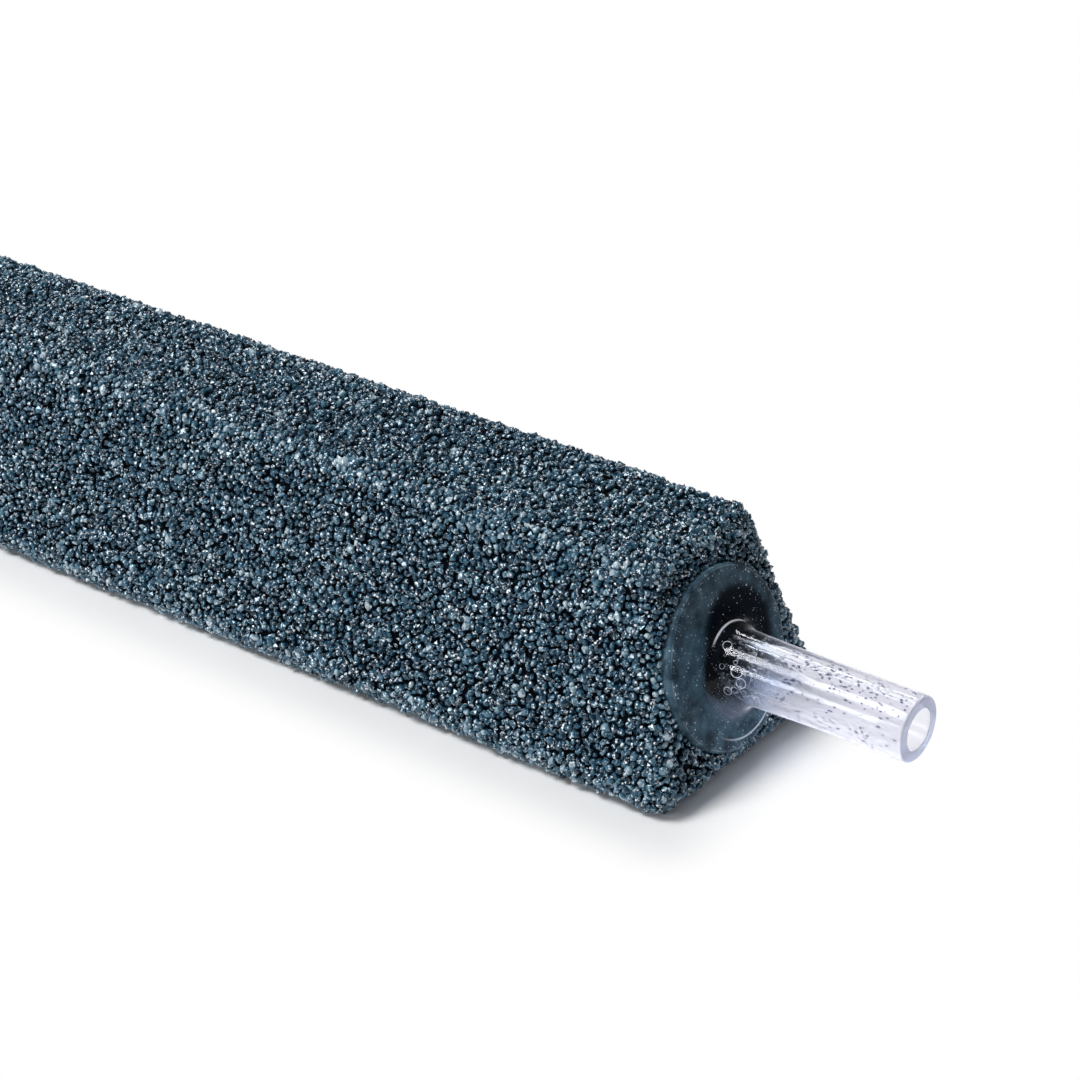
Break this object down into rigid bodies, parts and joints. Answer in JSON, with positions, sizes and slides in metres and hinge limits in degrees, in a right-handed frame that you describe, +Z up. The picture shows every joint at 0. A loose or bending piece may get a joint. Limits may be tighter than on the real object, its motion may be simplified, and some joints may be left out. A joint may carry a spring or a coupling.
{
  "type": "air stone bar",
  "caption": "Moulded bar of bonded mineral grit with a blind air channel and a clear flanged nozzle for an aquarium air line; air leaves through the pores as fine bubbles.",
  "frame": {"origin": "on the base plane, under the middle of the whole object's box", "axes": "+X along the bar towards the nozzle, +Z up from the wide base, +Y to the back"},
  "size_m": [0.1634, 0.0218, 0.018],
  "materials": {
    "bonded_grit": "rough, of glossy rounded grains",
    "clear_vinyl": "clear, with small bubbles"
  },
  "bodies": {
    "root": {"stone_bar": "bonded_grit", "air_nozzle": "clear_vinyl"}
  },
  "joints": []
}
